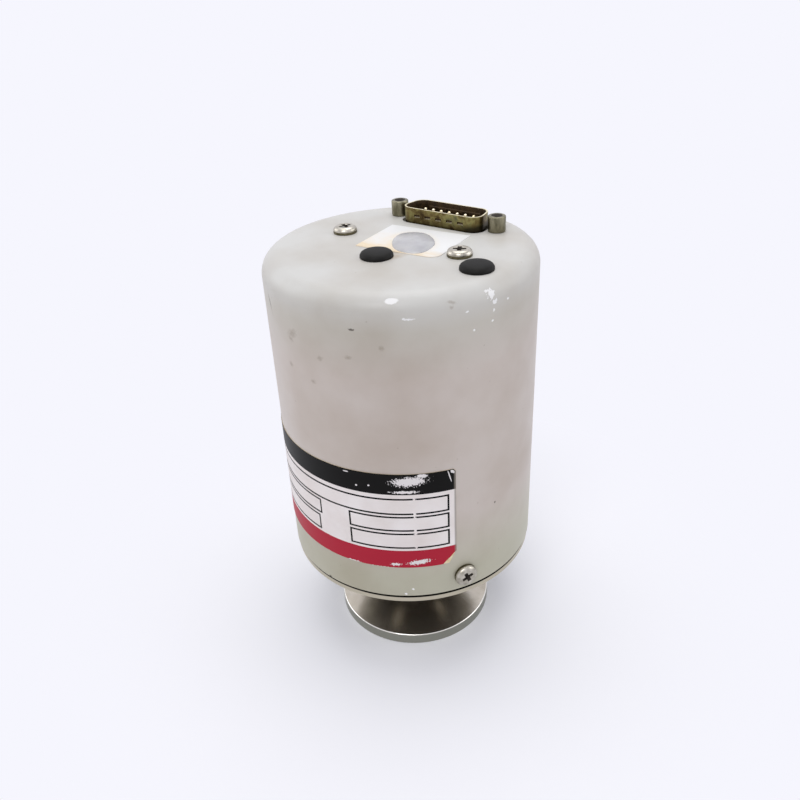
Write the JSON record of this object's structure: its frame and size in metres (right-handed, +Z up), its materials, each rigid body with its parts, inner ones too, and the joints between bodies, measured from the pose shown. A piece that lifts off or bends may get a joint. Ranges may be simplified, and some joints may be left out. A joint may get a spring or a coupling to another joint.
{
  "type": "capacitance diaphragm gauge",
  "caption": "Capacitance vacuum gauge: painted drawn can over a sensor capsule and boards, standing on a clamp flange, with a D connector and trimmer plugs on top.",
  "frame": {"origin": "centre of the vacuum flange's sealing face, which is also the surface it stands on", "axes": "+Z up the gauge's axis, +X along the connector's rows, +Y from the axis towards the connector"},
  "size_m": [0.0766, 0.0768, 0.1324],
  "materials": {
    "stainless": "turned satin",
    "spring_steel": "satin",
    "machined_aluminium": "machined satin",
    "plated_brass": "dull nickel plate",
    "steel_screws": "bright",
    "painted_can": "satin paint, lightly marked",
    "black_rubber": "satin",
    "chromated_steel": "yellow chromate, stained",
    "brown_moulding": "moulded",
    "gilded_pins": "gold flash",
    "ceramic_disc": "ground",
    "bead_glass": "fused",
    "pin_alloy": "drawn",
    "copper_tube": "drawn copper",
    "getter_alloy": "sintered",
    "lead_sleeve": "extruded",
    "board_laminate": "glass-epoxy laminate",
    "black_moulding": "moulded",
    "ferrite": "sintered",
    "copper_winding": "enamelled wire",
    "component_film": "dipped",
    "capacitor_sleeve": "shrunk sleeve",
    "trimmer_blue": "moulded",
    "trimmer_white": "moulded",
    "label_film": "printed film, torn and scuffed",
    "sticker_paper": "aged",
    "clear_seal": "domed resin"
  },
  "bodies": {
    "gauge": {"base_plate": "machined_aluminium", "base_posts": "plated_brass", "base_screws": "steel_screws", "board_link": "black_moulding", "board_screws": "steel_screws", "can_capacitors": "capacitor_sleeve", "chassis_plate": "machined_aluminium", "chassis_screws": "steel_screws", "connector_back": "chromated_steel", "connector_insulator": "brown_moulding", "connector_pins": "gilded_pins", "connector_shell": "chromated_steel", "cover": "painted_can", "cover_columns": "plated_brass", "cover_screws": "steel_screws", "diaphragm": "stainless", "electrode_disc": "ceramic_disc", "electrode_film": "gilded_pins", "feedthrough_glass": "bead_glass", "feedthrough_pins": "pin_alloy", "film_capacitors": "component_film", "getter_housing": "stainless", "getter_pellet": "getter_alloy", "inlet_baffle": "stainless", "jack_nuts": "plated_brass", "jack_posts": "plated_brass", "lower_board": "board_laminate", "lower_chips": "black_moulding", "lower_columns": "plated_brass", "neck_tube": "stainless", "pinch_tube": "copper_tube", "regulators": "black_moulding", "resistors": "component_film", "retaining_ring": "spring_steel", "ribbon_header": "black_moulding", "ribbon_lead": "lead_sleeve", "sensor_body": "stainless", "sensor_housing": "stainless", "sensor_leads": "lead_sleeve", "sensor_lid": "stainless", "sensor_screws": "steel_screws", "side_label": "label_film", "side_screws": "steel_screws", "span_plug": "black_rubber", "span_trimmer": "trimmer_blue", "spring_washer": "spring_steel", "top_seal": "clear_seal", "top_sticker": "sticker_paper", "transformer_coil": "copper_winding", "transformer_core": "ferrite", "upper_board": "board_laminate", "upper_chips": "black_moulding", "upper_columns": "plated_brass", "vacuum_flange": "stainless", "zero_plug": "black_rubber", "zero_trimmer": "trimmer_blue"},
    "zero_screw": {"zero_adjuster": "trimmer_white"},
    "span_screw": {"span_adjuster": "trimmer_white"}
  },
  "joints": [
    {"name": "zero_turn", "type": "hinge", "parent": "gauge", "child": "zero_screw", "pos_m": [0.0008, -0.0116, 0.1093], "axis": [0, 0, 1], "range_deg": [-140, 140]},
    {"name": "span_turn", "type": "hinge", "parent": "gauge", "child": "span_screw", "pos_m": [0.0285, -0.0066, 0.1093], "axis": [0, 0, 1], "range_deg": [-140, 140]}
  ]
}
